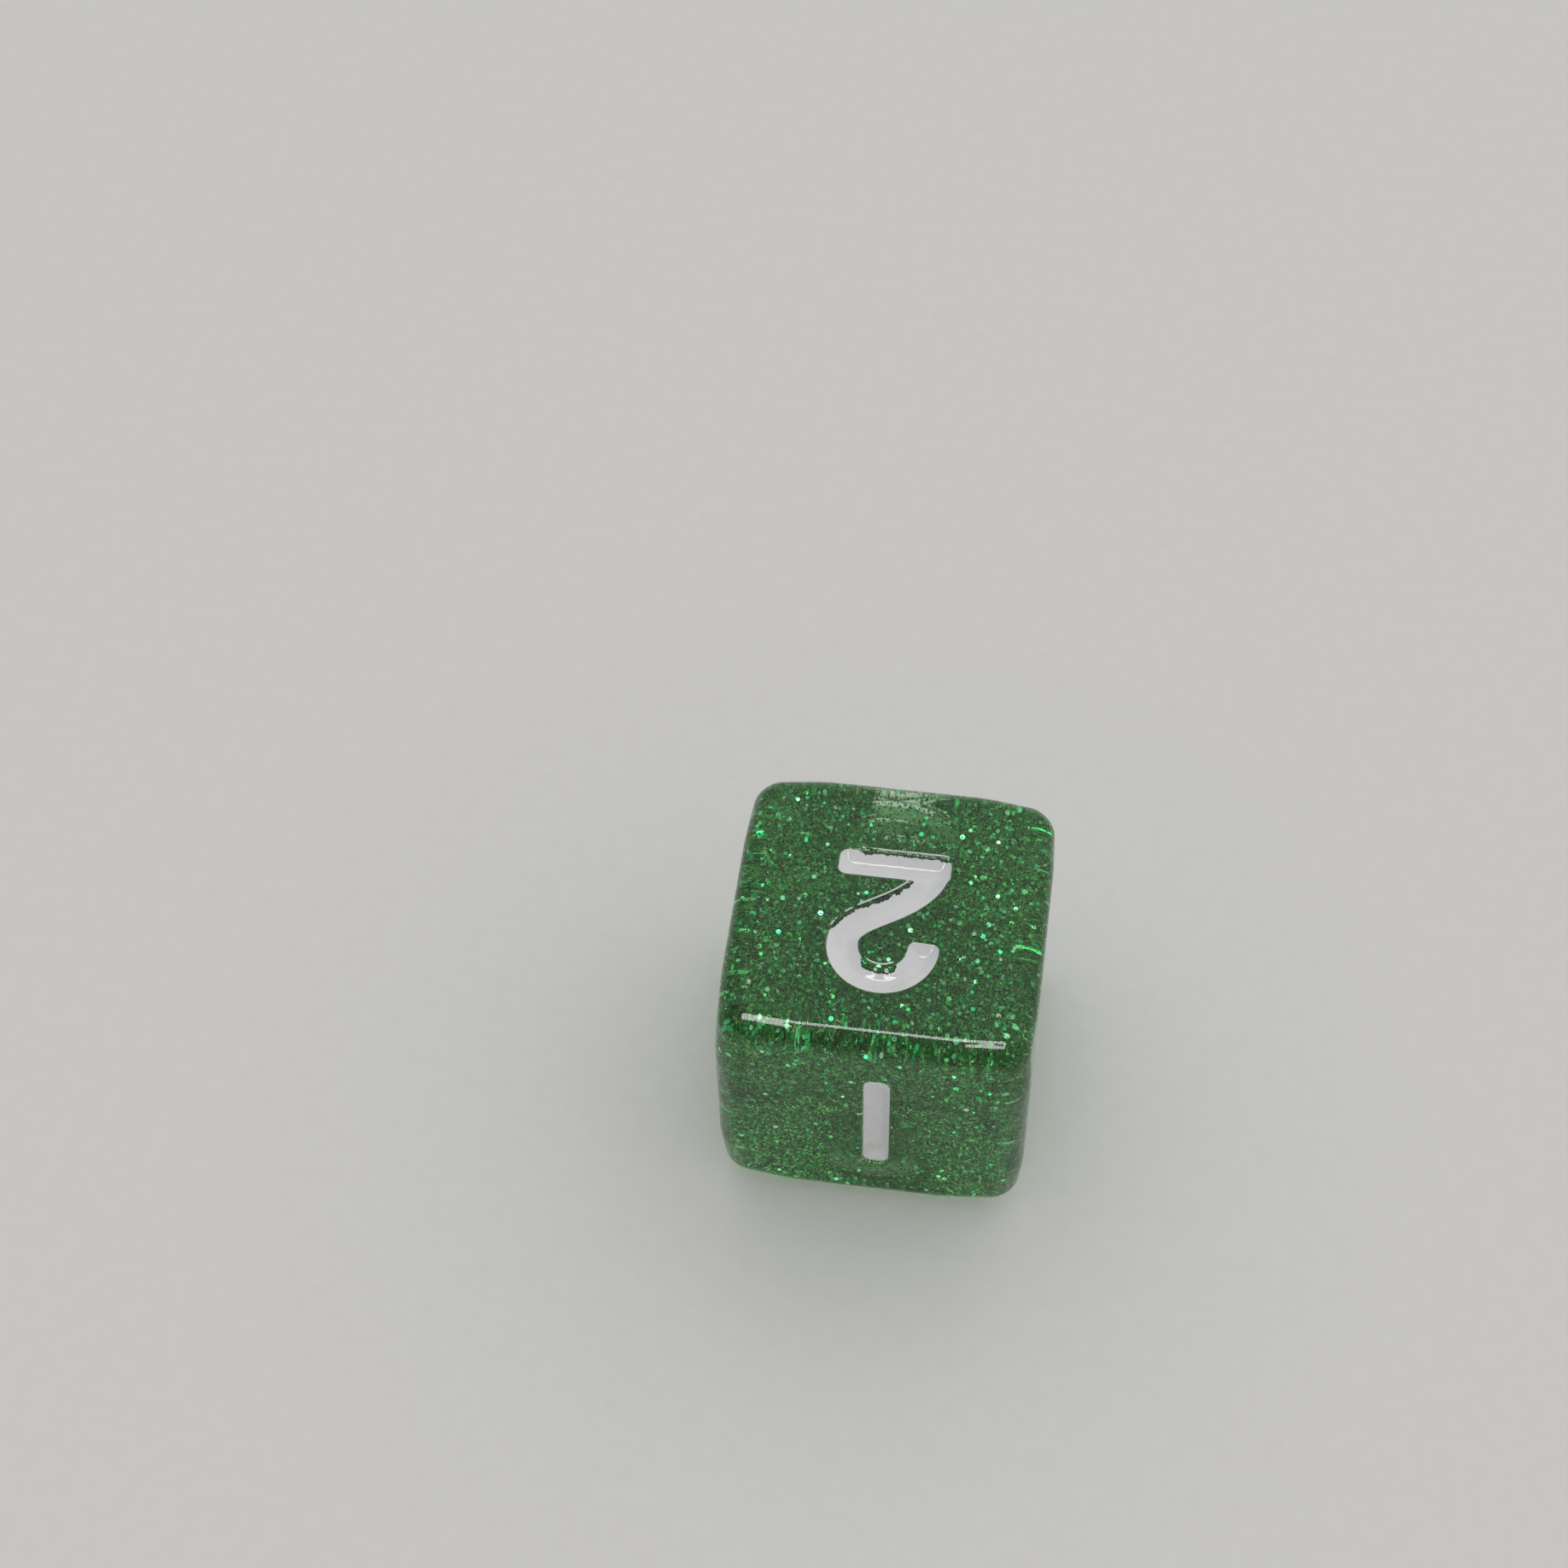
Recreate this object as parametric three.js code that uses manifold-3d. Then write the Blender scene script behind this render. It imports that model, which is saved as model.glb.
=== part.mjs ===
// A six-sided gaming die: one moulded block of clear resin with a numeral sunk in each face,
// and a pool of set paint in every numeral. Millimetres, +Z up. The origin is the middle of
// the face that the die rests on, face 1 looks along -Y and face 2 looks up.
//
// The paint keeps a hair of clearance to its recess, so that each piece stays its own solid.

import * as THREE from 'three';
import { mergeVertices } from 'three/addons/utils/BufferGeometryUtils.js';
import Module from 'manifold-3d';

const wasm = await Module();
wasm.setup();

// ---- driving dimensions ------------------------------------------------------------------

const SIDE = 16;            // across two opposite faces
const HALF = SIDE / 2;
const EDGE_RADIUS = 1.4;    // round along the twelve edges
const CORNER_ZONE = 4.5;    // how far from a face plane the corners start to be worn round
const CORNER_WEAR = 0.24;   // how far each face plane drops at a corner
const ARC_STEPS = 4;        // facets from the middle of an edge to a flat face
const ZONE_STEPS = 3;       // facets across a corner zone, beside the edge round

const STROKE = 1.5;         // width of a numeral's stroke
const END_RADIUS = 0.45;    // corner radius at the end of a stroke
const CAP_HEIGHT = 8.4;     // height of a plain numeral
const RECESS_DEPTH = 0.6;   // depth of a numeral below its face
const PAINT_DROP = 0.28;    // paint surface below the face
const CLEARANCE = 0.03;     // paint to recess
const SEGMENT = 0.35;       // longest straight piece of a curved stroke

// ---- numerals: the middle lines of the strokes -------------------------------------------
// Each numeral is drawn upright about the middle of its cap height, x to its own right. A
// stroke runs on past both ends of its line by half its width, or by its own reach.

const line = (...points) => {
  const path = new THREE.Path();
  path.moveTo(...points[0]);
  points.slice(1).forEach((point) => path.lineTo(...point));
  return path;
};

const degrees = (angle) => THREE.MathUtils.degToRad(angle);

// An elliptical sweep about (x, y), clockwise from one angle to another.
const sweep = (x, y, rx, ry, from, to) => {
  const path = new THREE.Path();
  path.absellipse(x, y, rx, ry, degrees(from), degrees(to), true);
  return path;
};

const one = () => {
  const width = STROKE - 0.15;
  const reach = CAP_HEIGHT / 2 - width / 2;
  return [{ path: line([0, -reach], [0, reach]), width }];
};

const two = () => {
  const width = STROKE + 0.1;
  const top = CAP_HEIGHT / 2 - width / 2;
  const bowl = 2.04;
  const hook = sweep(0.08, top - bowl, bowl, bowl, 180, 0);
  hook.bezierCurveTo(0.08 + bowl, 0.45, 1.12, -0.09, 0.1, -0.73);
  hook.bezierCurveTo(-0.92, -1.37, -2.0, -2.3, -2.0, -top);
  return [
    { path: hook, width, reach: 0.4 },
    { path: line([-2.05, -top], [2.1, -top]), width },
  ];
};

const three = () => {
  const top = CAP_HEIGHT / 2 - 0.1 - STROKE / 2;
  const waist = 0.09;
  const upper = (top - waist) / 2;
  const lower = (top + waist) / 2;
  return [
    { path: sweep(0, waist + upper, 1.9, upper, 180, -90), reach: 0.6 },
    { path: sweep(0, waist - lower, 2.12, lower, 90, -180), reach: 0.6 },
    { path: line([-0.1, waist], [0.6, waist]), width: STROKE + 0.06 },
  ];
};

const four = () => {
  const width = STROKE - 0.1;
  const bar = -0.95;
  const stem = 0.45;
  return [
    { path: line([stem, -2.95], [stem, 3.75]), width },
    { path: line([-3.05, bar], [1.8, bar]), width },
    { path: line([-2.75, bar + 0.15], [stem - 0.15, 3.6]), width },
  ];
};

const five = () => {
  const top = CAP_HEIGHT / 2 - STROKE / 2;
  const bowl = 2.1;
  const shoulder = 150;
  const middle = new THREE.Vector2(-0.05, bowl - top);
  const joint = [
    middle.x + bowl * Math.cos(degrees(shoulder)),
    middle.y + bowl * Math.sin(degrees(shoulder)),
  ];
  return [
    { path: line([-1.7, top], [1.5, top]) },
    { path: line([-1.7, top - 0.1], joint), endRadius: STROKE / 2 },
    { path: sweep(middle.x, middle.y, bowl, bowl, shoulder, -145), endRadius: STROKE / 2 },
  ];
};

const six = () => {
  const loop = { x: 2.05, y: 1.62 };
  const middle = -0.45;
  const tail = new THREE.Path();
  tail.moveTo(1.29, 3.53);
  tail.bezierCurveTo(-0.2, 4.0, -loop.x, 2.8, -loop.x, middle);
  const paths = [
    tail,
    sweep(0, middle, loop.x, loop.y, 180, 0),
    sweep(0, middle, loop.x, loop.y, 0, -180),
  ];
  return paths.map((path) => ({ path, reach: END_RADIUS }));
};

const sixUnderline = () => [{ path: line([-2.05, -4.0], [2.05, -4.0]), width: STROKE - 0.25 }];

// ---- strokes as solids -------------------------------------------------------------------

const toManifold = (geometry) => {
  geometry.deleteAttribute('normal');
  geometry.deleteAttribute('uv');
  const merged = mergeVertices(geometry, 1e-5);
  return new wasm.Manifold(new wasm.Mesh({
    numProp: 3,
    vertProperties: new Float32Array(merged.attributes.position.array),
    triVerts: new Uint32Array(merged.index.array),
  }));
};

const toGeometry = (solid) => {
  const mesh = solid.getMesh();
  const geometry = new THREE.BufferGeometry();
  geometry.setAttribute('position', new THREE.BufferAttribute(mesh.vertProperties, 3));
  geometry.setIndex(new THREE.BufferAttribute(mesh.triVerts, 1));
  geometry.computeVertexNormals();
  return geometry;
};

const joined = (solids) => solids.reduce((sum, solid) => sum.add(solid));

// Points along a stroke's middle line with its direction there, no further apart than SEGMENT.
const middleLine = (path) => {
  const samples = [];
  path.curves.forEach((curve) => {
    const straight = curve.isLineCurve;
    const count = straight ? 1 : Math.max(2, Math.ceil(curve.getLength() / SEGMENT));
    for (let i = samples.length ? 1 : 0; i <= count; i += 1) {
      const t = i / count;
      samples.push({ point: curve.getPoint(t), along: curve.getTangent(t) });
    }
  });
  return samples;
};

// The outline of one stroke: a ribbon round its middle line that runs on by `reach` at both
// ends, where its corners are rounded.
const strokeOutline = (path, halfWidth, reach, endRadius) => {
  const samples = middleLine(path);
  const beside = ({ point, along }, side) => (
    point.clone().add(new THREE.Vector2(-along.y, along.x).multiplyScalar(side * halfWidth))
  );
  const cornerSteps = 4;
  const radius = Math.min(endRadius, halfWidth, reach);
  const cap = (end, outward) => {
    const along = end.along.clone().multiplyScalar(outward);
    const across = new THREE.Vector2(-along.y, along.x);
    const corner = (side, turn) => {
      const angle = (turn / cornerSteps) * (Math.PI / 2);
      return end.point.clone()
        .addScaledVector(along, reach - radius + radius * Math.sin(angle))
        .addScaledVector(across, side * (halfWidth - radius + radius * Math.cos(angle)));
    };
    const outline = [];
    for (let turn = 0; turn <= cornerSteps; turn += 1) {
      outline.push(corner(-1, turn));
    }
    for (let turn = cornerSteps; turn >= 0; turn -= 1) {
      outline.push(corner(1, turn));
    }
    return outline;
  };
  const inner = samples.slice(1, -1);
  return [
    ...cap(samples.at(-1), 1),
    ...inner.slice().reverse().map((sample) => beside(sample, 1)),
    ...cap(samples[0], -1),
    ...inner.map((sample) => beside(sample, -1)),
  ];
};

// A stroke as a solid between two heights, slimmed all round by `inset`.
const strokeSolid = (stroke, bottom, top, inset) => {
  const { path, width = STROKE, reach = width / 2, endRadius = END_RADIUS } = stroke;
  const points = strokeOutline(path, width / 2 - inset, reach - inset, endRadius);
  const outline = new THREE.Shape(points);
  const geometry = new THREE.ExtrudeGeometry(outline, { depth: top - bottom, bevelEnabled: false });
  geometry.translate(0, 0, bottom);
  return toManifold(geometry);
};

const numeralSolid = (strokes, bottom, top, inset) => joined(
  strokes.map((stroke) => strokeSolid(stroke, bottom, top, inset)),
);

// ---- the faces ---------------------------------------------------------------------------
// Each face has its outward direction, its numeral's up direction, and how far the numeral
// sits off the middle of the face, along the numeral's own right and up.

const FACES = [
  { name: '1', strokes: one, out: [0, -1, 0], up: [0, 0, 1], offset: [0.35, 0] },
  { name: '2', strokes: two, out: [0, 0, 1], up: [0, -1, 0], offset: [0, 0.72] },
  { name: '3', strokes: three, out: [1, 0, 0], up: [0, -1, 0], offset: [0.05, 0] },
  { name: '4', strokes: four, out: [-1, 0, 0], up: [0, -1, 0], offset: [0, 0] },
  { name: '5', strokes: five, out: [0, 0, -1], up: [0, 1, 0], offset: [0, 0] },
  { name: '6', strokes: six, out: [0, 1, 0], up: [0, 0, 1], offset: [0, 0] },
  { name: '6_underline', strokes: sixUnderline, out: [0, 1, 0], up: [0, 0, 1], offset: [0, 0] },
];

// Takes the numeral's own frame (x right, y up, z out, z = 0 on the face) to the die.
const faceMatrix = ({ out, up, offset }) => {
  const zAxis = new THREE.Vector3(...out);
  const yAxis = new THREE.Vector3(...up);
  const xAxis = new THREE.Vector3().crossVectors(yAxis, zAxis);
  const origin = new THREE.Vector3(0, 0, HALF)
    .addScaledVector(zAxis, HALF)
    .addScaledVector(xAxis, offset[0])
    .addScaledVector(yAxis, offset[1]);
  return new THREE.Matrix4().makeBasis(xAxis, yAxis, zAxis).setPosition(origin);
};

// ---- the body ----------------------------------------------------------------------------

// Where the grid lines of a face lie, from its middle to its rim: the flat, the worn zone at
// the corners, then the edge round up to its 45 degree line.
const gridLines = () => {
  const flat = HALF - EDGE_RADIUS;
  const zoneStart = HALF - CORNER_ZONE;
  const half = [];
  for (let i = 0; i <= ZONE_STEPS; i += 1) {
    half.push(THREE.MathUtils.lerp(zoneStart, flat, i / ZONE_STEPS));
  }
  for (let i = 1; i <= ARC_STEPS; i += 1) {
    half.push(flat + EDGE_RADIUS * Math.tan((i / ARC_STEPS) * (Math.PI / 4)));
  }
  return [...half.map((value) => -value).reverse(), ...half];
};

const CORE = new THREE.Vector3().setScalar(HALF - EDGE_RADIUS);

// Moves a point of a plain cube onto the die's rounded surface.
const rounded = (point) => {
  const core = point.clone().clamp(CORE.clone().negate(), CORE);
  const away = point.clone().sub(core).normalize().multiplyScalar(EDGE_RADIUS);
  const surface = core.add(away);
  const wear = (value) => THREE.MathUtils.smoothstep(Math.abs(value), HALF - CORNER_ZONE, HALF);
  const drop = CORNER_WEAR * wear(surface.x) * wear(surface.y) * wear(surface.z);
  const inward = new THREE.Vector3(...surface.toArray().map(Math.sign)).multiplyScalar(drop);
  return surface.sub(inward);
};

const roundedCube = () => {
  const lines = gridLines();
  const count = lines.length;
  const positions = [];
  const triangles = [];
  const sides = FACES.filter(({ name }) => name.length === 1);
  sides.forEach(({ out, up }) => {
    const zAxis = new THREE.Vector3(...out);
    const yAxis = new THREE.Vector3(...up);
    const xAxis = new THREE.Vector3().crossVectors(yAxis, zAxis);
    const first = positions.length / 3;
    lines.forEach((y) => lines.forEach((x) => {
      const point = new THREE.Vector3()
        .addScaledVector(zAxis, HALF)
        .addScaledVector(xAxis, x)
        .addScaledVector(yAxis, y);
      positions.push(...rounded(point).toArray());
    }));
    for (let row = 0; row < count - 1; row += 1) {
      for (let column = 0; column < count - 1; column += 1) {
        const a = first + row * count + column;
        const b = a + count;
        triangles.push(a, a + 1, b + 1, a, b + 1, b);
      }
    }
  });
  const geometry = new THREE.BufferGeometry();
  geometry.setAttribute('position', new THREE.Float32BufferAttribute(positions, 3));
  geometry.setIndex(triangles);
  geometry.translate(0, 0, HALF);
  return toManifold(geometry);
};

const dieBody = () => {
  const overshoot = 0.5;
  const cutters = FACES.map((face) => {
    const cutter = toGeometry(numeralSolid(face.strokes(), -RECESS_DEPTH, overshoot, 0));
    cutter.applyMatrix4(faceMatrix(face));
    return toManifold(cutter);
  });
  return toGeometry(roundedCube().subtract(joined(cutters)));
};

const paintFill = (face) => toGeometry(
  numeralSolid(face.strokes(), -RECESS_DEPTH + CLEARANCE, -PAINT_DROP, CLEARANCE),
);

// ---- materials ---------------------------------------------------------------------------

const resin = new THREE.MeshStandardMaterial({
  color: 0x2f6b3a, roughness: 0.08, metalness: 0, transparent: true, opacity: 0.8,
});
const paint = new THREE.MeshStandardMaterial({ color: 0xe9e9ec, roughness: 0.25, metalness: 0 });

// ---- assembly ----------------------------------------------------------------------------

const die = new THREE.Group();

const body = new THREE.Mesh(dieBody(), resin);
body.name = 'die_body';
die.add(body);

FACES.forEach((face) => {
  const fill = new THREE.Mesh(paintFill(face), paint);
  fill.name = `paint_fill_${face.name}`;
  fill.applyMatrix4(faceMatrix(face));
  die.add(fill);
});

export default die;
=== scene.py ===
"""A six-sided die of clear green glitter resin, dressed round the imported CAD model.

The die is modelled in millimetres about its own middle and put into the frame, in metres, at
the end. Every numeral is drawn upright in its own frame: x to its right, y up, z out of the
face.
"""
import math

import bpy
import numpy as np
from mathutils import Matrix, Vector, noise
from mathutils.geometry import delaunay_2d_cdt


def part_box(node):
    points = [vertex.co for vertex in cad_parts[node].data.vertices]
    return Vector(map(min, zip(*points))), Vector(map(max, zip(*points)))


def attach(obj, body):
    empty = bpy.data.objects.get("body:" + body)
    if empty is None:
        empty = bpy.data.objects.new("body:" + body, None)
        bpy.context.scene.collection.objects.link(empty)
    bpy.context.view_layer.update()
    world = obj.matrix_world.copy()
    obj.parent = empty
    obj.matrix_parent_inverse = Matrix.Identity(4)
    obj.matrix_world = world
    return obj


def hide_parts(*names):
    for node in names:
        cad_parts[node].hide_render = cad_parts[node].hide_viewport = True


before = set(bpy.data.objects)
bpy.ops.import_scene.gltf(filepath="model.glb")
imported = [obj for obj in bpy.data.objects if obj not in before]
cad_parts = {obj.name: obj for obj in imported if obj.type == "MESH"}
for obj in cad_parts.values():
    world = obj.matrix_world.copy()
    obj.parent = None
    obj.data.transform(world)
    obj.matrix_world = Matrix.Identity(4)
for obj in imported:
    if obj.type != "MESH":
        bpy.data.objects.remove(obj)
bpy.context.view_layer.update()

MM = 0.001
RNG = np.random.default_rng(6)

# ---- sizes, in millimetres ----------------------------------------------------------------

BODY_LOW, BODY_HIGH = (np.array(corner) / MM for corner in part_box("die_body"))
SIDE = float(BODY_HIGH[0] - BODY_LOW[0])
HALF = SIDE / 2
CENTRE = (BODY_LOW + BODY_HIGH) / 2

EDGE_RADIUS = 1.4       # round along the edges
CORNER_ZONE = 4.5       # how far from a face plane the corners start to be worn round
CORNER_WEAR = 0.24      # how far each face plane drops at a corner
EDGE_STEPS = 10         # strips from a face to the middle of an edge
GRID = 0.3              # mesh spacing beside the edges and over the worn corners
COARSE_GRID = 1.5       # mesh spacing on the plain middle of a face

STROKE = 1.5            # width of a numeral's stroke
END_RADIUS = 0.45       # corner radius at the end of a stroke
CAP_HEIGHT = 8.4        # height of a plain numeral
CURVE_STEP = 0.08       # point spacing along a stroke's outline

# A stroke is cut like a V with steep lips: a round rim, a short wall, then two slopes that
# meet in a soft crease along the stroke's middle line.
RIM_RADIUS = 0.11       # round where a face turns into a recess
WALL_SLOPE = 78         # steepness of the wall under the rim, in degrees
WALL_DEPTH = 0.30       # how far down that wall goes
FLOOR_SLOPE = 34        # steepness of the two slopes, in degrees
CREASE = 0.16           # half width of the soft crease
PAINT_CREASE = 0.36     # half width of the crease in the paint, which settles there
FLOOR_GRID = 0.12       # mesh spacing on the slopes

PAINT_FILM = 0.05       # thickness of the set paint on the slopes
PAINT_CLIMB = 0.03      # how far the paint creeps up the wall
CLIMB_WIDTH = 0.08      # how quickly that creep dies away from the wall
PAINT_BITE = 0.03       # how far the paint reaches into the resin that it sticks to
PAINT_GRID = 0.06       # mesh spacing of the paint surface
PAINT_SWELL = 0.02      # how far the film's thickness wanders along a stroke
PAINT_RAGGED = 0.05     # how far its edge goes up and down where it has peeled
CRACK_SHADE_WIDTH = 0.10       # painted shade: the dark line in the crack where the paint has let go of the wall
PEEL_REACH = 0.5        # how far from its line a peeled stretch of the paint's edge reaches
LIP_HIGHLIGHT_FROM, LIP_HIGHLIGHT_TO = 0.015, 0.075     # a painted highlight on the lip there, from a numeral's edge: a film of white paint where the rim shows a light line
LIP_HIGHLIGHT_FILM = 0.006      # thickness of that painted highlight film

FLAKE_THICKNESS = 0.012  # thickness of the foil
FLAKE_MARGIN = 0.15     # clear resin between a flake's middle and any surface
RECESS_DEPTH = 0.78     # no numeral is cut deeper than this

FLOOR_REACH = 6.0       # from the middle of the floor to its sides, in metres
FLOOR_GAP = 0.02        # how far the floor lies under the die


# ---- numerals: the middle lines of their strokes ------------------------------------------

def line(*points):
    return np.array(points, float)


def sweep(x, y, rx, ry, start, end):
    """An elliptical arc between two angles in degrees, clockwise when end is less than start."""
    length = math.radians(abs(end - start)) * max(rx, ry)
    angles = np.radians(np.linspace(start, end, max(3, int(length / CURVE_STEP))))
    return np.stack([x + rx * np.cos(angles), y + ry * np.sin(angles)], 1)


def bezier(a, b, c, d):
    length = math.dist(a, b) + math.dist(b, c) + math.dist(c, d)
    t = np.linspace(0, 1, int(length / CURVE_STEP))[:, None]
    a, b, c, d = (np.array(point, float) for point in (a, b, c, d))
    return a * (1 - t) ** 3 + 3 * b * t * (1 - t) ** 2 + 3 * c * t ** 2 * (1 - t) + d * t ** 3


def chain(*lines):
    """Joins lines end to end, without repeating the points that they share."""
    return np.concatenate([lines[0]] + [points[1:] for points in lines[1:]])


def stroke(path, width=STROKE, reach=None, end_radius=END_RADIUS):
    """A stroke runs on past both ends of its line by half its width, or by its own reach."""
    return {
        "path": path,
        "width": width,
        "reach": width / 2 if reach is None else reach,
        "end_radius": end_radius,
    }


def one():
    width = STROKE - 0.15
    reach = CAP_HEIGHT / 2 - width / 2
    return [stroke(line((0, -reach), (0, reach)), width)]


def two():
    width = STROKE + 0.1
    top = CAP_HEIGHT / 2 - width / 2
    bowl = 2.04
    hook = chain(
        sweep(0.08, top - bowl, bowl, bowl, 180, 0),
        bezier((0.08 + bowl, top - bowl), (0.08 + bowl, 0.45), (1.12, -0.09), (0.1, -0.73)),
        bezier((0.1, -0.73), (-0.92, -1.37), (-2.0, -2.3), (-2.0, -top)),
    )
    return [
        stroke(hook, width, reach=0.4),
        stroke(line((-2.05, -top), (2.1, -top)), width),
    ]


def three():
    top = CAP_HEIGHT / 2 - 0.1 - STROKE / 2
    waist = 0.09
    upper = (top - waist) / 2
    lower = (top + waist) / 2
    return [
        stroke(sweep(0, waist + upper, 1.9, upper, 180, -90), reach=0.6),
        stroke(sweep(0, waist - lower, 2.12, lower, 90, -180), reach=0.6),
        stroke(line((-0.1, waist), (0.6, waist)), STROKE + 0.06),
    ]


def four():
    width = STROKE - 0.1
    bar = -0.95
    stem = 0.45
    return [
        stroke(line((stem, -2.95), (stem, 3.75)), width),
        stroke(line((-3.05, bar), (1.8, bar)), width),
        stroke(line((-2.75, bar + 0.15), (stem - 0.15, 3.6)), width),
    ]


def five():
    top = CAP_HEIGHT / 2 - STROKE / 2
    bowl = 2.1
    shoulder = 150
    x, y = -0.05, bowl - top
    joint = (
        x + bowl * math.cos(math.radians(shoulder)),
        y + bowl * math.sin(math.radians(shoulder)),
    )
    return [
        stroke(line((-1.7, top), (1.5, top))),
        stroke(line((-1.7, top - 0.1), joint), end_radius=STROKE / 2),
        stroke(sweep(x, y, bowl, bowl, shoulder, -145), end_radius=STROKE / 2),
    ]


def six():
    loop_x, loop_y, middle = 2.05, 1.62, -0.45
    paths = [
        bezier((1.29, 3.53), (-0.2, 4.0), (-loop_x, 2.8), (-loop_x, middle)),
        sweep(0, middle, loop_x, loop_y, 180, 0),
        sweep(0, middle, loop_x, loop_y, 0, -180),
    ]
    return [stroke(path, reach=END_RADIUS) for path in paths]


def six_underline():
    return [stroke(line((-2.05, -4.0), (2.05, -4.0)), STROKE - 0.25)]


# Outward direction, the numeral's up, and how far it sits off the middle along its own x and y.
FACES = {
    "1": {"out": (0, -1, 0), "up": (0, 0, 1), "offset": (0.35, 0.0)},
    "2": {"out": (0, 0, 1), "up": (0, -1, 0), "offset": (0.0, 0.72)},
    "3": {"out": (1, 0, 0), "up": (0, -1, 0), "offset": (0.05, 0.0)},
    "4": {"out": (-1, 0, 0), "up": (0, -1, 0), "offset": (0.0, 0.0)},
    "5": {"out": (0, 0, -1), "up": (0, 1, 0), "offset": (0.0, 0.0)},
    "6": {"out": (0, 1, 0), "up": (0, 0, 1), "offset": (0.0, 0.0)},
}
FILLS = {
    "1": {"1": one()},
    "2": {"2": two()},
    "3": {"3": three()},
    "4": {"4": four()},
    "5": {"5": five()},
    "6": {"6": six(), "6_underline": six_underline()},
}


# Where the paint's edge has peeled off the wall: how far from the wall the paint starts, and
# a line along the stretch.
PEELED = {
    "2": [
        (0.02, line((1.6, -4.2), (-2.4, -4.2))),
        (0.02, line((-0.9, -2.4), (0.5, -1.4), (2.2, -0.3), (2.7, 0.3))),
        (0.26, line((0.75, 2.5), (0.1, 2.65), (-0.4, 2.6))),
    ],
}


# ---- outlines and distances ---------------------------------------------------------------

def unit(vectors):
    return vectors / np.maximum(np.linalg.norm(vectors, axis=-1, keepdims=True), 1e-12)


def stroke_outline(item):
    """The closed outline of one stroke, anticlockwise, its end corners rounded."""
    path, half = item["path"], item["width"] / 2
    if len(path) == 2:
        steps = max(2, int(math.dist(*path) / CURVE_STEP))
        path = path[0] + (path[1] - path[0]) * np.linspace(0, 1, steps)[:, None]
    along = unit(np.gradient(path, axis=0))
    across = np.stack([-along[:, 1], along[:, 0]], 1)
    reach = item["reach"]
    radius = min(item["end_radius"], half, reach)
    turns = np.linspace(0, math.pi / 2, 8)[:, None]

    def cap(end, outward):
        forward, side = along[end] * outward, across[end] * outward
        run = reach - radius + radius * np.sin(turns)
        spread = half - radius + radius * np.cos(turns)
        right = path[end] + forward * run - side * spread
        left = path[end] + forward * run + side * spread
        return np.concatenate([right, left[::-1]])

    left_side = (path + across * half)[1:-1][::-1]
    right_side = (path - across * half)[1:-1]
    return np.concatenate([cap(-1, 1), left_side, cap(0, -1), right_side])


def resampled(outline, step):
    closed = np.concatenate([outline, outline[:1]])
    distance = np.concatenate([[0], np.cumsum(np.linalg.norm(np.diff(closed, axis=0), axis=1))])
    places = np.linspace(0, distance[-1], max(8, int(distance[-1] / step)), endpoint=False)
    return np.stack([np.interp(places, distance, closed[:, axis]) for axis in (0, 1)], 1)


def outline_distance(points, outline):
    """Signed distance from points to a closed outline, negative inside."""
    starts, ends = outline, np.roll(outline, -1, axis=0)
    edges = ends - starts
    lengths = np.maximum((edges ** 2).sum(1), 1e-12)
    result = np.empty(len(points))
    for first in range(0, len(points), 2000):
        part = points[first:first + 2000]
        offset = part[:, None, :] - starts[None]
        share = np.clip((offset * edges).sum(-1) / lengths, 0, 1)
        nearest = offset - share[..., None] * edges
        distance = np.sqrt((nearest ** 2).sum(-1)).min(1)
        crosses = (starts[None, :, 1] > part[:, None, 1]) != (ends[None, :, 1] > part[:, None, 1])
        rise = np.where(edges[:, 1] == 0, 1e-12, edges[:, 1])
        at = starts[:, 0] + (part[:, None, 1] - starts[:, 1]) * edges[:, 0] / rise
        inside = (crosses & (part[:, None, 0] < at)).sum(1) % 2 == 1
        result[first:first + 2000] = np.where(inside, -distance, distance)
    return result


class Numeral:
    """A numeral's strokes as outlines, with the signed distance to their union."""

    def __init__(self, strokes):
        self.outlines = [resampled(stroke_outline(item), CURVE_STEP) for item in strokes]
        self.half = max(item["width"] for item in strokes) / 2

    def distance(self, points):
        return np.min([outline_distance(points, o) for o in self.outlines], axis=0)

    def ring(self, level):
        """Points at one signed distance from the edge of the numeral."""
        found = []
        for outline in self.outlines:
            along = unit(np.roll(outline, -1, axis=0) - np.roll(outline, 1, axis=0))
            outward = np.stack([along[:, 1], -along[:, 0]], 1)
            found.append(outline + outward * level)
        points = np.concatenate(found)
        return points[np.abs(self.distance(points) - level) < 0.004]


def inside_points(numeral, step, level):
    """A grid of points over a numeral, further inside it than one signed distance."""
    outline = np.concatenate(numeral.outlines)
    low, high = outline.min(axis=0), outline.max(axis=0)
    points = mesh_grid(grid(low[0], high[0], step), grid(low[1], high[1], step))
    return points[numeral.distance(points) < level - step / 3]


def grid(low, high, step):
    count = max(2, int(round((high - low) / step)) + 1)
    return np.linspace(low, high, count)


def mesh_grid(xs, ys):
    return np.stack([axis.ravel() for axis in np.meshgrid(xs, ys)], 1)


def thinned(points, spacing):
    """Drops points that fall in the same small cell as an earlier one."""
    cells = np.round(points / spacing).astype(int)
    _, first = np.unique(cells, axis=0, return_index=True)
    return points[np.sort(first)]


def triangulated(points):
    """Delaunay triangles over points, anticlockwise."""
    verts, _, faces, _, _, _ = delaunay_2d_cdt(
        [Vector(point) for point in points.tolist()], [], [], 0, 1e-9)
    return np.array([tuple(v) for v in verts]), np.array(faces)


# ---- the body's surface -------------------------------------------------------------------

def smoothstep(values, low, high):
    t = np.clip((values - low) / (high - low), 0, 1)
    return t * t * (3 - 2 * t)


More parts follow.
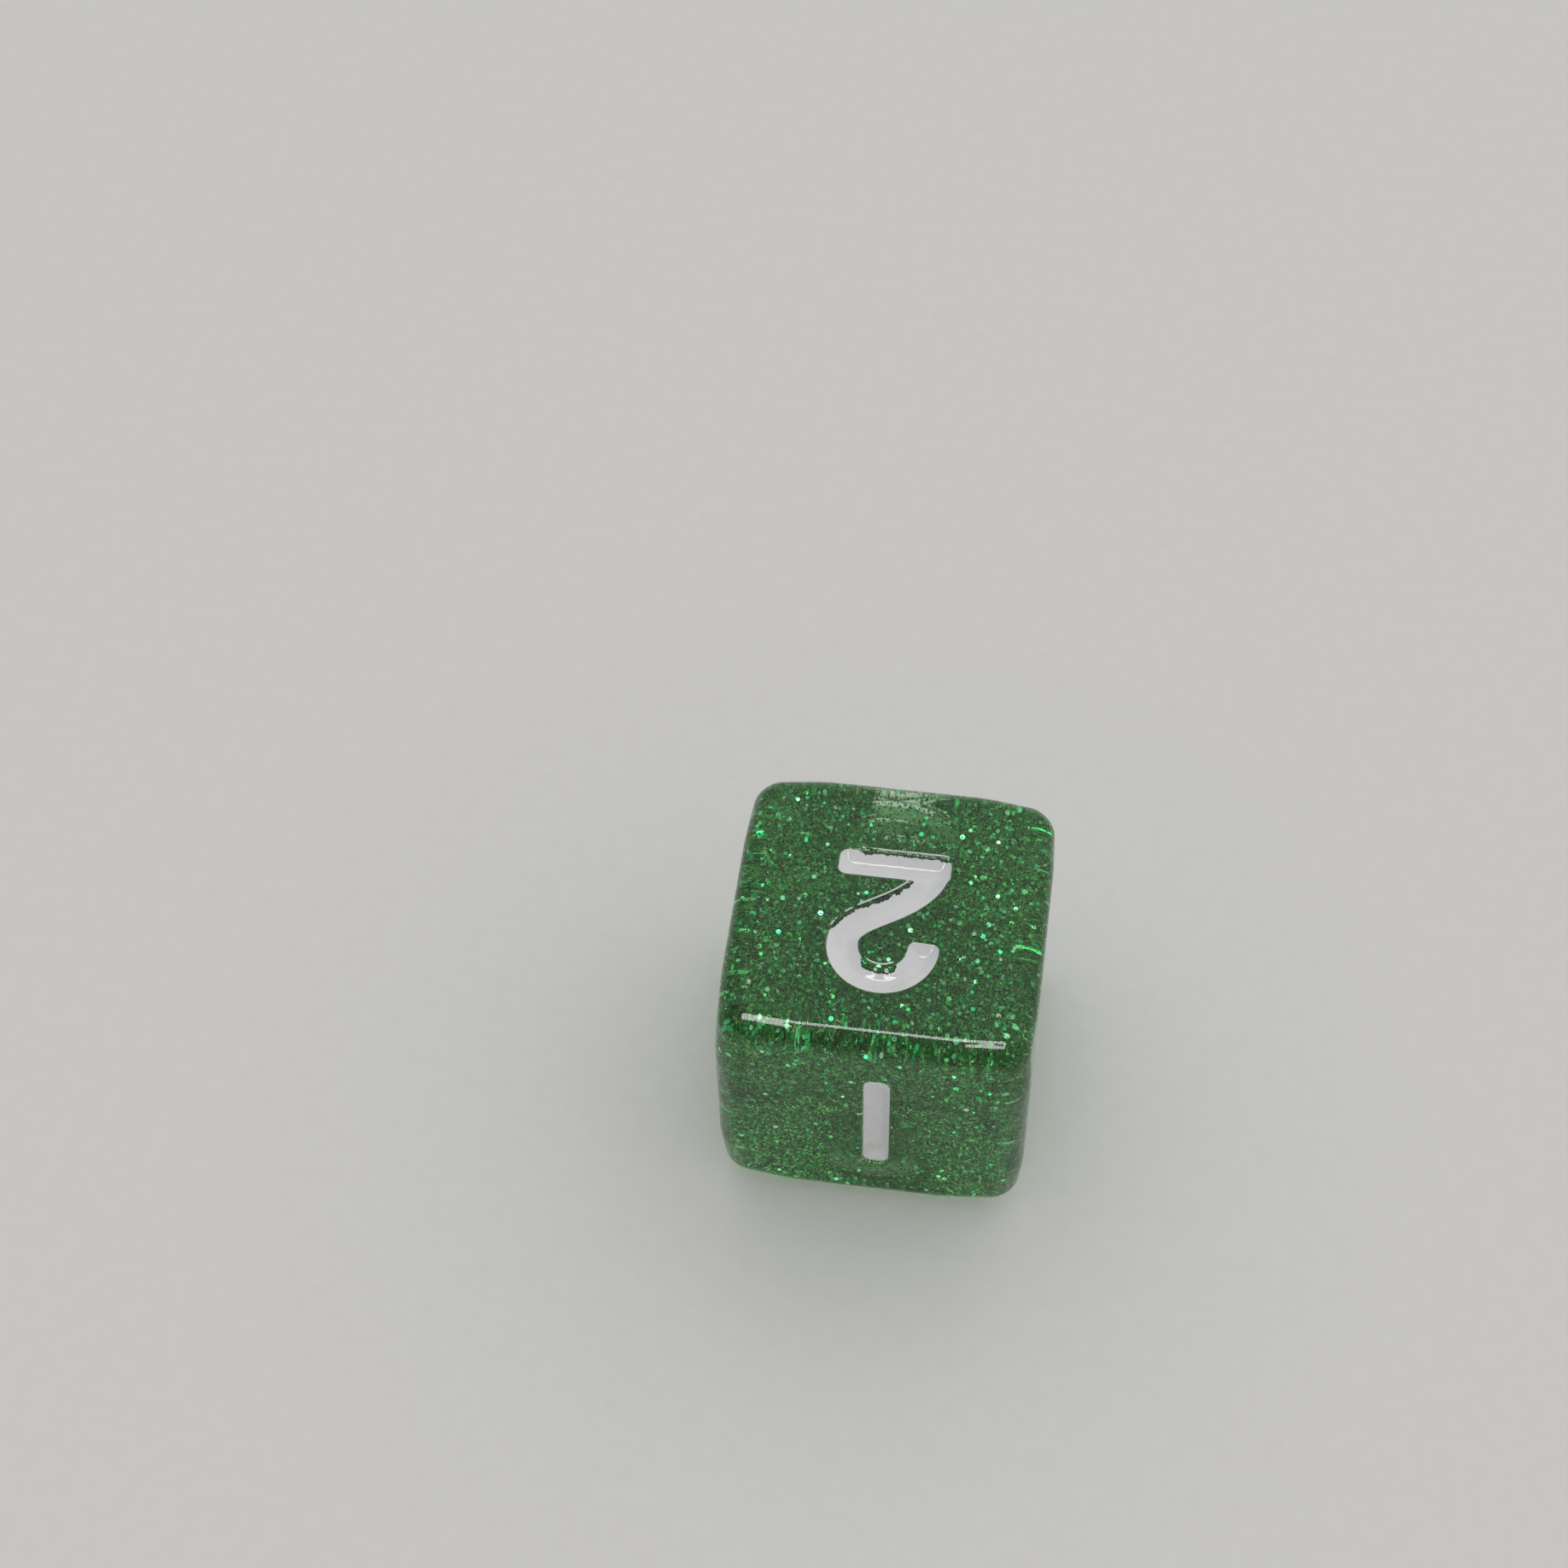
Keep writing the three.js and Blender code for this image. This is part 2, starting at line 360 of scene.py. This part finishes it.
def rounded(points):
    """Moves points of a plain cube onto the die's rounded surface."""
    core = np.clip(points, -(HALF - EDGE_RADIUS), HALF - EDGE_RADIUS)
    surface = core + unit(points - core) * EDGE_RADIUS
    wear = smoothstep(np.abs(surface), HALF - CORNER_ZONE, HALF)
    drop = CORNER_WEAR * wear.prod(axis=1, keepdims=True)
    return surface - np.sign(surface) * drop


def recess_depth(distance, half, crease=CREASE):
    """How far the surface lies below its face, by its distance from a numeral's edge."""
    wall, floor = math.radians(WALL_SLOPE), math.radians(FLOOR_SLOPE)
    inward = np.clip(RIM_RADIUS - distance, 0, RIM_RADIUS + half)
    turn = RIM_RADIUS * math.sin(wall)
    rim = RIM_RADIUS - np.sqrt(RIM_RADIUS ** 2 - np.minimum(inward, turn) ** 2)
    lip = RIM_RADIUS * (1 - math.cos(wall))
    foot = turn + (WALL_DEPTH - lip) / math.tan(wall)
    drop = (np.clip(inward, turn, foot) - turn) * math.tan(wall)
    middle = RIM_RADIUS + half
    near = np.clip(inward - (middle - crease), 0, crease)
    slope = np.maximum(inward - foot, 0) - near ** 2 / (2 * crease)
    return rim + drop + slope * math.tan(floor)


def face_axes(face):
    out, up = np.array(face["out"], float), np.array(face["up"], float)
    return np.cross(up, out), up, out


def face_surface(face, numerals, flat):
    """Points of a face, from their places on a plain cube's side, in the face's own x and y."""
    right, up, out = face_axes(face)
    cube = flat[:, :1] * right + flat[:, 1:] * up + out * HALF
    depth = np.zeros(len(flat))
    near = np.abs(flat).max(axis=1) < HALF - EDGE_RADIUS
    local = flat[near] - np.array(face["offset"])
    depth[near] = np.max([recess_depth(n.distance(local), n.half) for n in numerals], axis=0)
    return rounded(cube) - depth[:, None] * out


def face_normals(face, numerals, flat):
    step = 1e-4
    beside = [np.array([step, 0]), np.array([0, step])]
    slopes = [
        face_surface(face, numerals, np.clip(flat + move, -HALF, HALF))
        - face_surface(face, numerals, np.clip(flat - move, -HALF, HALF))
        for move in beside
    ]
    return unit(np.cross(slopes[0], slopes[1]))


def face_points(face, numerals):
    """Where a face needs vertices: fine at its edges, corners and numerals."""
    flat = HALF - EDGE_RADIUS
    turns = np.radians(np.linspace(0, 45, EDGE_STEPS + 1))[1:]
    edge = flat + EDGE_RADIUS * np.tan(turns)
    middle = grid(-flat, flat, GRID)
    lines = np.concatenate([-edge[::-1], middle, edge])
    everything = mesh_grid(lines, lines)
    reach = np.abs(everything)
    border = reach.max(axis=1) >= flat - 1e-6
    worn = reach.min(axis=1) > HALF - CORNER_ZONE - GRID
    plain = mesh_grid(*[grid(-flat, flat, COARSE_GRID)] * 2)
    plain = plain[np.abs(plain).max(axis=1) < flat - 1]
    inner = np.concatenate([everything[worn & ~border], plain])
    offset = np.array(face["offset"])
    clear = np.min([n.distance(inner - offset) for n in numerals], axis=0) > RIM_RADIUS + 0.1
    rim = RIM_RADIUS * (1 - np.sin(np.radians([0, 18, 36, 54, 68, WALL_SLOPE])))
    levels = [RIM_RADIUS * 1.6, *rim, -0.012, -0.026, -0.06, -0.12, -0.2]
    rings = [n.ring(level) for n in numerals for level in levels]
    floors = [inside_points(n, FLOOR_GRID, levels[-1]) for n in numerals]
    numeral_points = np.concatenate([*rings, *floors]) + offset
    return thinned(np.concatenate([everything[border], inner[clear], numeral_points]), 0.004)


def body_mesh_data():
    places, normals, triangles = [], [], []
    count = 0
    for name, face in FACES.items():
        numerals = [Numeral(strokes) for strokes in FILLS[name].values()]
        flat, faces = triangulated(face_points(face, numerals))
        places.append(face_surface(face, numerals, flat))
        normals.append(face_normals(face, numerals, flat))
        triangles.append(faces + count)
        count += len(flat)
    places, normals, triangles = (np.concatenate(part) for part in (places, normals, triangles))
    _, first, welded = np.unique(
        np.round(places, 4), axis=0, return_index=True, return_inverse=True)
    triangles = welded.reshape(-1)[triangles]
    whole = (
        (triangles[:, 0] != triangles[:, 1])
        & (triangles[:, 1] != triangles[:, 2])
        & (triangles[:, 2] != triangles[:, 0])
    )
    return places[first], normals[first], triangles[whole]


# ---- Blender objects ----------------------------------------------------------------------

def add_object(name, places, faces, material, smooth=True):
    """A mesh from places in millimetres about the die's middle."""
    mesh = bpy.data.meshes.new(name)
    mesh.from_pydata(((places + CENTRE) * MM).tolist(), [], faces)
    mesh.polygons.foreach_set("use_smooth", [smooth] * len(mesh.polygons))
    mesh.materials.append(material)
    mesh.update()
    piece = bpy.data.objects.new(name, mesh)
    bpy.context.scene.collection.objects.link(piece)
    return piece


def make_body(material):
    places, normals, triangles = body_mesh_data()
    body = add_object("resin_body", places, triangles.tolist(), material)
    body.data.normals_split_custom_set_from_vertices(normals.tolist())
    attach(body, "root")
    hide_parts("die_body")


# ---- paint --------------------------------------------------------------------------------

def waver(points, scale, seed):
    """Smooth noise from -1 to 1 at each 2-D point."""
    return np.array([noise.noise(Vector((x * scale, y * scale, seed))) for x, y in points.tolist()])


def peeled(points, name):
    """How far the paint has peeled at each point, from 0 to 1, and how far it starts in."""
    share, start = np.zeros((2, len(points)))
    for width, along in PEELED.get(name, []):
        there_and_back = np.concatenate([along, along[-2:0:-1]])
        near = np.abs(outline_distance(points, there_and_back)) / PEEL_REACH
        here = 1 - smoothstep(near, 0.3, 1.0)
        share = np.maximum(share, here)
        start = np.maximum(start, width * here)
    return share, start


def paint_height(points, distance, half, share, seed):
    """Height of the set paint: a film on the recess floor, ragged where it has peeled."""
    floor = np.maximum(recess_depth(distance, half, PAINT_CREASE), WALL_DEPTH)
    edge = np.exp(np.minimum(distance, 0) / CLIMB_WIDTH)
    climb = PAINT_CLIMB * (1 + 0.5 * waver(points, 1.7, seed)) * edge
    bites = waver(points, 5.0, seed + 9) + waver(points, 13.0, seed + 4)
    ragged = PAINT_RAGGED * bites * edge * share
    swell = PAINT_SWELL * (waver(points, 0.8, seed + 20) + 0.3 * waver(points, 3.5, seed + 31))
    return -floor + PAINT_FILM + climb + ragged + swell


def paint_margin(points, numeral, name, seed):
    """How far inside the painted area each point is, less than 0 where the paint missed."""
    _, start = peeled(points, name)
    return -numeral.distance(points) - start * (1 + 0.25 * waver(points, 5.0, seed))


def crack_shade_edge(points, margin, name, seed):
    """True for the outermost bits of the paint's surface, along a ragged line, where the crack's
    painted shade goes.
    """
    share, _ = peeled(points, name)
    ragged = 1 + 0.9 * waver(points, 3.0, seed) + 0.6 * waver(points, 12.0, seed)
    return margin < CRACK_SHADE_WIDTH * share * ragged


def paint_points(numeral):
    levels = [0.0, -0.02, -0.045, -0.08, -0.12, -0.17]
    rings = [numeral.ring(level) for level in levels]
    return np.concatenate([*rings, inside_points(numeral, PAINT_GRID, levels[-1])])


def boundary_edges(triangles):
    edges = np.concatenate([triangles[:, [0, 1]], triangles[:, [1, 2]], triangles[:, [2, 0]]])
    keys = {tuple(edge) for edge in edges.tolist()}
    return [edge for edge in keys if (edge[1], edge[0]) not in keys]


def add_film(name, face, flat, triangles, top, bottom, materials):
    """A closed sheet in a face's recess, between two heights at each of its flat points."""
    count = len(flat)
    walls = [(a, a + count, b + count, b) for a, b in boundary_edges(triangles)]
    faces = triangles.tolist() + (triangles[:, ::-1] + count).tolist() + walls
    right, up, out = face_axes(face)
    spot = flat + np.array(face["offset"])
    spot = spot[:, :1] * right + spot[:, 1:] * up + out * HALF
    places = np.concatenate([spot + top[:, None] * out, spot + bottom[:, None] * out])
    piece = add_object(name, places, faces, materials[0])
    for material in materials[1:]:
        piece.data.materials.append(material)
    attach(piece, "root")
    return piece


def used_only(flat, triangles):
    """Drops the points that no triangle uses."""
    used, triangles = np.unique(triangles, return_inverse=True)
    return flat[used], triangles.reshape(-1, 3)


def make_paint(face_name, fill_name, strokes, materials):
    face, numeral = FACES[face_name], Numeral(strokes)
    seed = 3.7 * (1 + list(FACES).index(face_name))
    flat, triangles = triangulated(paint_points(numeral))
    margin = paint_margin(flat[triangles].mean(axis=1), numeral, fill_name, seed)
    flat, triangles = used_only(flat, triangles[margin > -0.002])
    distance = numeral.distance(flat)
    bottom = -np.maximum(recess_depth(distance, numeral.half), WALL_DEPTH) - PAINT_BITE
    top = paint_height(flat, distance, numeral.half, peeled(flat, fill_name)[0], seed)
    top = np.maximum(top, bottom + 0.004)
    piece = add_film(f"paint_{fill_name}", face, flat, triangles, top, bottom, materials)
    middles = flat[triangles].mean(axis=1)
    margin = paint_margin(middles, numeral, fill_name, seed)
    slots = np.zeros(len(piece.data.polygons), int)
    # the outermost paint takes the second slot: painted shade in the crack
    slots[:len(triangles)] = crack_shade_edge(middles, margin, fill_name, seed)
    piece.data.polygons.foreach_set("material_index", slots)
    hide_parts(f"paint_fill_{fill_name}")
    # beside peeled stretches, a painted highlight of white paint on the lip
    if fill_name in PEELED:
        make_lip_highlight(face, fill_name, numeral, seed, materials[0])


def make_lip_highlight(face, fill_name, numeral, seed, material):
    """A thin film of white paint on the lip of the recess beside each peeled stretch: a painted
    highlight for the rim's light line.
    """
    levels = np.linspace(LIP_HIGHLIGHT_FROM, LIP_HIGHLIGHT_TO, 4)
    flat, triangles = triangulated(np.concatenate([numeral.ring(level) for level in levels]))
    corners = flat[triangles]
    middles = corners.mean(axis=1)
    spread = np.linalg.norm(corners - middles[:, None], axis=2).max(axis=1)
    distance = numeral.distance(middles)
    highlighted_lip = (
        (distance > LIP_HIGHLIGHT_FROM)
        & (distance < LIP_HIGHLIGHT_TO)
        & (spread < CURVE_STEP)
        & (peeled(middles, fill_name)[0] > 0.6)
        & (waver(middles, 2.5, seed) + 0.5 * waver(middles, 9.0, seed) > -0.25)
    )
    flat, triangles = used_only(flat, triangles[highlighted_lip])
    distance = numeral.distance(flat)
    bottom = -recess_depth(distance, numeral.half)
    top = -recess_depth(distance + LIP_HIGHLIGHT_FILM, numeral.half) + 0.001
    add_film(f"painted_lip_highlight_{fill_name}", face, flat, triangles, top, bottom - 0.002, [material])


# ---- glitter ------------------------------------------------------------------------------

def in_resin(points):
    """True where a flake fits: inside the rounded body and clear of the numerals."""
    outside = np.abs(points) - (HALF - EDGE_RADIUS)
    depth = np.linalg.norm(np.maximum(outside, 0), axis=1) + np.minimum(outside.max(axis=1), 0)
    wear = smoothstep(np.abs(points), HALF - CORNER_ZONE, HALF).prod(axis=1)
    fits = depth < EDGE_RADIUS - FLAKE_MARGIN - 2 * CORNER_WEAR * wear
    for name, face in FACES.items():
        right, up, out = face_axes(face)
        shallow = fits & (points @ out > HALF - RECESS_DEPTH - FLAKE_MARGIN)
        flat = np.stack([points[shallow] @ right, points[shallow] @ up], 1)
        flat -= np.array(face["offset"])
        for strokes in FILLS[name].values():
            clear = Numeral(strokes).distance(flat) > FLAKE_MARGIN
            blocked = np.flatnonzero(shallow)[~clear]
            fits[blocked] = False
            shallow[blocked] = False
            flat = flat[clear]
    return fits


def flake_places(count):
    found = np.empty((0, 3))
    while len(found) < count:
        points = RNG.uniform(-HALF, HALF, (count, 3))
        found = np.concatenate([found, points[in_resin(points)]])
    return found[:count]


def make_flakes(name, middles, size, sides, material):
    """Thin flat flakes with equal sides, each turned its own way, as one piece."""
    count = len(middles)
    normal = unit(RNG.normal(size=(count, 3)))
    side = unit(np.cross(normal, RNG.normal(size=(count, 3))))
    other = np.cross(normal, side)
    reach = size * RNG.uniform(0.75, 1.2, (count, 1, 1))
    turns = np.arange(sides)[:, None] * math.tau / sides
    flat = np.cos(turns) * side[:, None] + np.sin(turns) * other[:, None]
    half = normal[:, None] * FLAKE_THICKNESS / 2
    rim = middles[:, None] + flat * reach
    places = np.concatenate([rim + half, rim - half], axis=1).reshape(-1, 3)
    base = np.arange(count)[:, None] * 2 * sides
    faces = (base + np.arange(sides)).tolist()
    faces += (base + 2 * sides - 1 - np.arange(sides)).tolist()
    for i in range(sides):
        j = (i + 1) % sides
        faces += (base + np.array([i, i + sides, j + sides, j])).tolist()
    piece = add_object(name, places, faces, material, smooth=False)
    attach(piece, "root")


# ---- materials ----------------------------------------------------------------------------

def new_material(name):
    material = bpy.data.materials.new(name)
    material.use_nodes = True
    nodes = material.node_tree.nodes
    return material, nodes, material.node_tree.links, nodes["Principled BSDF"]


def noise_node(nodes, links, scale, detail=4.0):
    where = nodes.new("ShaderNodeTexCoord")
    texture = nodes.new("ShaderNodeTexNoise")
    texture.inputs["Scale"].default_value = scale
    texture.inputs["Detail"].default_value = detail
    links.new(where.outputs["Object"], texture.inputs["Vector"])
    return texture


def add_bump(nodes, links, shader, height, strength, distance):
    bump = nodes.new("ShaderNodeBump")
    bump.inputs["Strength"].default_value = strength
    bump.inputs["Distance"].default_value = distance
    links.new(height, bump.inputs["Height"])
    links.new(bump.outputs["Normal"], shader.inputs["Normal"])


def mapped(nodes, links, value, low, high):
    node = nodes.new("ShaderNodeMapRange")
    node.inputs["To Min"].default_value = low
    node.inputs["To Max"].default_value = high
    links.new(value, node.inputs["Value"])
    return node.outputs["Result"]


def add_colours(nodes, links, shader, value, dark, light, ends=(0.0, 1.0)):
    """Base colour from dark to light, as a value goes from one end to the other."""
    colours = nodes.new("ShaderNodeValToRGB")
    for element, place, colour in zip(colours.color_ramp.elements, ends, (dark, light)):
        element.position = place
        element.color = (*colour, 1)
    links.new(value, colours.inputs["Fac"])
    links.new(colours.outputs["Color"], shader.inputs["Base Color"])


def resin_material():
    """Clear green resin: polished but faintly rippled, tinted by its depth."""
    material, nodes, links, shader = new_material("green_resin")
    shader.inputs["Base Color"].default_value = (1, 1, 1, 1)
    shader.inputs["Transmission Weight"].default_value = 1.0
    shader.inputs["IOR"].default_value = 1.5
    handling = noise_node(nodes, links, 260.0)
    links.new(mapped(nodes, links, handling.outputs["Fac"], 0.0, 0.04), shader.inputs["Roughness"])
    ripple = noise_node(nodes, links, 420.0, 2.0)
    add_bump(nodes, links, shader, ripple.outputs["Fac"], 0.05, 0.00001)
    output = nodes["Material Output"]
    clear = nodes.new("ShaderNodeBsdfTransparent")
    clear.inputs["Color"].default_value = (0.92, 0.96, 0.9, 1)
    path = nodes.new("ShaderNodeLightPath")
    mix = nodes.new("ShaderNodeMixShader")
    links.new(path.outputs["Is Shadow Ray"], mix.inputs["Fac"])
    links.new(shader.outputs["BSDF"], mix.inputs[1])
    links.new(clear.outputs["BSDF"], mix.inputs[2])
    links.new(mix.outputs["Shader"], output.inputs["Surface"])
    depth = nodes.new("ShaderNodeVolumeAbsorption")
    depth.inputs["Color"].default_value = (0.22, 0.80, 0.15, 1)
    depth.inputs["Density"].default_value = 120.0
    links.new(depth.outputs["Volume"], output.inputs["Volume"])
    return material


def paint_material():
    """Glossy white paint, faintly mottled."""
    material, nodes, links, shader = new_material("white_paint")
    mottle = noise_node(nodes, links, 700.0)
    shadow, white = (0.84, 0.845, 0.86), (0.92, 0.92, 0.93)
    add_colours(nodes, links, shader, mottle.outputs["Fac"], shadow, white, (0.25, 0.6))
    links.new(mapped(nodes, links, mottle.outputs["Fac"], 0.0, 0.1), shader.inputs["Roughness"])
    add_bump(nodes, links, shader, mottle.outputs["Fac"], 0.05, 0.00001)
    return material


def crack_shade_material():
    """Painted shade: dark green where the crack round the paint lies in shadow."""
    material, nodes, links, shader = new_material("painted_crack_shade")
    patches = noise_node(nodes, links, 3000.0)
    dark, light = (0.004, 0.012, 0.006), (0.03, 0.06, 0.03)
    add_colours(nodes, links, shader, patches.outputs["Fac"], dark, light)
    shader.inputs["Roughness"].default_value = 0.6
    return material


def flake_material(name, dark, light, metallic, roughness):
    """Coloured foil, its colour changing from flake to flake."""
    material, nodes, links, shader = new_material(name)
    batches = noise_node(nodes, links, 2500.0, 1.0)
    add_colours(nodes, links, shader, batches.outputs["Fac"], dark, light, (0.35, 0.65))
    shader.inputs["Metallic"].default_value = metallic
    shader.inputs["Roughness"].default_value = roughness
    return material


def floor_material():
    """Matt pale card with a faint grain."""
    material, nodes, links, shader = new_material("pale_card")
    fibres = noise_node(nodes, links, 900.0, 6.0)
    dark, light = (0.86, 0.85, 0.84), (0.92, 0.91, 0.90)
    add_colours(nodes, links, shader, fibres.outputs["Fac"], dark, light)
    shader.inputs["Roughness"].default_value = 0.7
    add_bump(nodes, links, shader, fibres.outputs["Fac"], 0.2, 0.00005)
    return material


# ---- stage --------------------------------------------------------------------------------

def make_floor():
    mesh = bpy.data.meshes.new("floor")
    signs = ((-1, -1), (1, -1), (1, 1), (-1, 1))
    corners = [(x * FLOOR_REACH, y * FLOOR_REACH, 0) for x, y in signs]
    mesh.from_pydata(corners, [], [(0, 1, 2, 3)])
    mesh.materials.append(floor_material())
    floor = bpy.data.objects.new("floor", mesh)
    floor.location.z = (float(BODY_LOW[2]) - FLOOR_GAP) * MM
    bpy.context.scene.collection.objects.link(floor)


def make_world():
    """A soft tent, brightest high up behind the die and dim at the horizon."""
    brightest = (0.30, 0.45, 0.84)
    dim, bright = (0.35, 0.35, 0.35, 1), (0.83, 0.825, 0.82, 1)
    world = bpy.data.worlds.new("light_tent")
    bpy.context.scene.world = world
    world.use_nodes = True
    nodes, links = world.node_tree.nodes, world.node_tree.links
    where = nodes.new("ShaderNodeTexCoord")
    toward = nodes.new("ShaderNodeVectorMath")
    toward.operation = "DOT_PRODUCT"
    toward.inputs[1].default_value = brightest
    ramp = nodes.new("ShaderNodeValToRGB")
    ramp.color_ramp.elements[0].position = 0.0
    ramp.color_ramp.elements[0].color = dim
    ramp.color_ramp.elements[1].position = 1.0
    ramp.color_ramp.elements[1].color = bright
    links.new(where.outputs["Generated"], toward.inputs[0])
    links.new(toward.outputs["Value"], ramp.inputs["Fac"])
    links.new(ramp.outputs["Color"], nodes["Background"].inputs["Color"])


def ring_lamp_line(half_width, half_height, corner, gap):
    """Points round a rectangle with round corners, leaving a gap in its lower side."""
    corners = ((1, -1, -90), (1, 1, 0), (-1, 1, 90), (-1, -1, 180))
    points = [(gap, -half_height)]
    for side_x, side_y, start in corners:
        for angle in np.radians(np.linspace(start, start + 90, 12)):
            x = side_x * (half_width - corner) + corner * math.cos(angle)
            y = side_y * (half_height - corner) + corner * math.sin(angle)
            points.append((x, y))
    return points + [(-gap, -half_height)]


def make_ring_lamp():
    """A bright ring lamp high over the front of the die, open in the middle of its lower side.

    It shows only in glossy and clear surfaces; the world lights the matt ones.
    """
    distance, elevation, middle_x = 0.40, 68, -0.004
    half_width, half_height, corner, band, gap = 0.124, 0.066, 0.05, 0.078, 0.065
    inner = ring_lamp_line(half_width - band / 2, half_height - band / 2, corner - band / 2, gap)
    outer = ring_lamp_line(half_width + band / 2, half_height + band / 2, corner + band / 2, gap)
    count = len(inner)
    mesh = bpy.data.meshes.new("ring_lamp")
    faces = [(i, i + 1, i + 1 + count, i + count) for i in range(count - 1)]
    mesh.from_pydata([(*point, 0) for point in inner + outer], [], faces)
    material, nodes, links, _ = new_material("lit_band")
    nodes.clear()
    light = nodes.new("ShaderNodeEmission")
    light.inputs["Color"].default_value = (1.0, 0.99, 0.97, 1)
    light.inputs["Strength"].default_value = 9.0
    output = nodes.new("ShaderNodeOutputMaterial")
    links.new(light.outputs["Emission"], output.inputs["Surface"])
    mesh.materials.append(material)
    lamp = bpy.data.objects.new("ring_lamp", mesh)
    lamp.visible_diffuse = False
    angle = math.radians(elevation)
    away = Vector((0, -math.cos(angle), math.sin(angle)))
    lamp.matrix_world = (
        Matrix.Translation(Vector((middle_x, -HALF * MM, SIDE * MM)) + away * distance)
        @ away.to_track_quat("Z", "Y").to_matrix().to_4x4()
    )
    bpy.context.scene.collection.objects.link(lamp)


def make_camera():
    """The photograph's view: a close phone camera above the die and a little to its right."""
    stand = Vector((8.22, -83.09, 146.7)) * MM
    heading, pitch, roll = 9.175, 55.107, -1.53
    camera = bpy.data.cameras.new("camera")
    camera.sensor_width = 36
    camera.lens = 70.63
    camera.clip_start = 0.005
    camera.clip_end = 5
    holder = bpy.data.objects.new("camera", camera)
    holder.matrix_world = (
        Matrix.Translation(stand)
        @ Matrix.Rotation(math.radians(heading), 4, "Z")
        @ Matrix.Rotation(math.radians(90 - pitch), 4, "X")
        @ Matrix.Rotation(math.radians(roll), 4, "Z")
    )
    bpy.context.scene.collection.objects.link(holder)
    bpy.context.scene.camera = holder


# ---- the die ------------------------------------------------------------------------------

def make_glitter():
    kinds = [
        # name, flakes, centre to corner, sides, darkest, lightest, metallic, roughness
        ("specks_dark", 16000, 0.064, 4, (0.002, 0.012, 0.003), (0.01, 0.08, 0.015), 1.0, 0.4),
        ("specks_forest", 14000, 0.068, 4, (0.01, 0.09, 0.02), (0.04, 0.22, 0.05), 0.9, 0.45),
        ("specks_moss", 16000, 0.064, 4, (0.04, 0.12, 0.03), (0.15, 0.32, 0.09), 0.3, 0.6),
        ("specks_olive", 9000, 0.066, 4, (0.14, 0.26, 0.08), (0.36, 0.50, 0.20), 0.2, 0.6),
        ("glitter_green", 2600, 0.09, 6, (0.01, 0.20, 0.06), (0.04, 0.44, 0.14), 1.0, 0.35),
        ("glitter_emerald", 2400, 0.11, 8, (0.03, 0.50, 0.18), (0.06, 0.80, 0.34), 1.0, 0.3),
        ("glitter_mint", 3400, 0.12, 8, (0.20, 0.88, 0.42), (0.40, 1.0, 0.62), 0.7, 0.35),
        ("glitter_silver", 170, 0.12, 8, (0.80, 0.85, 0.78), (0.95, 0.96, 0.93), 0.3, 0.3),
    ]
    for name, count, size, sides, dark, light, metallic, roughness in kinds:
        material = flake_material(name, dark, light, metallic, roughness)
        make_flakes(name, flake_places(count), size, sides, material)


make_camera()
make_body(resin_material())
# white paint, and the painted shade in the crack round it
paints = (paint_material(), crack_shade_material())
for face_name, fills in FILLS.items():
    for fill_name, strokes in fills.items():
        make_paint(face_name, fill_name, strokes, paints)
make_glitter()
make_floor()
make_world()
make_ring_lamp()

bpy.context.scene.view_settings.view_transform = "Standard"
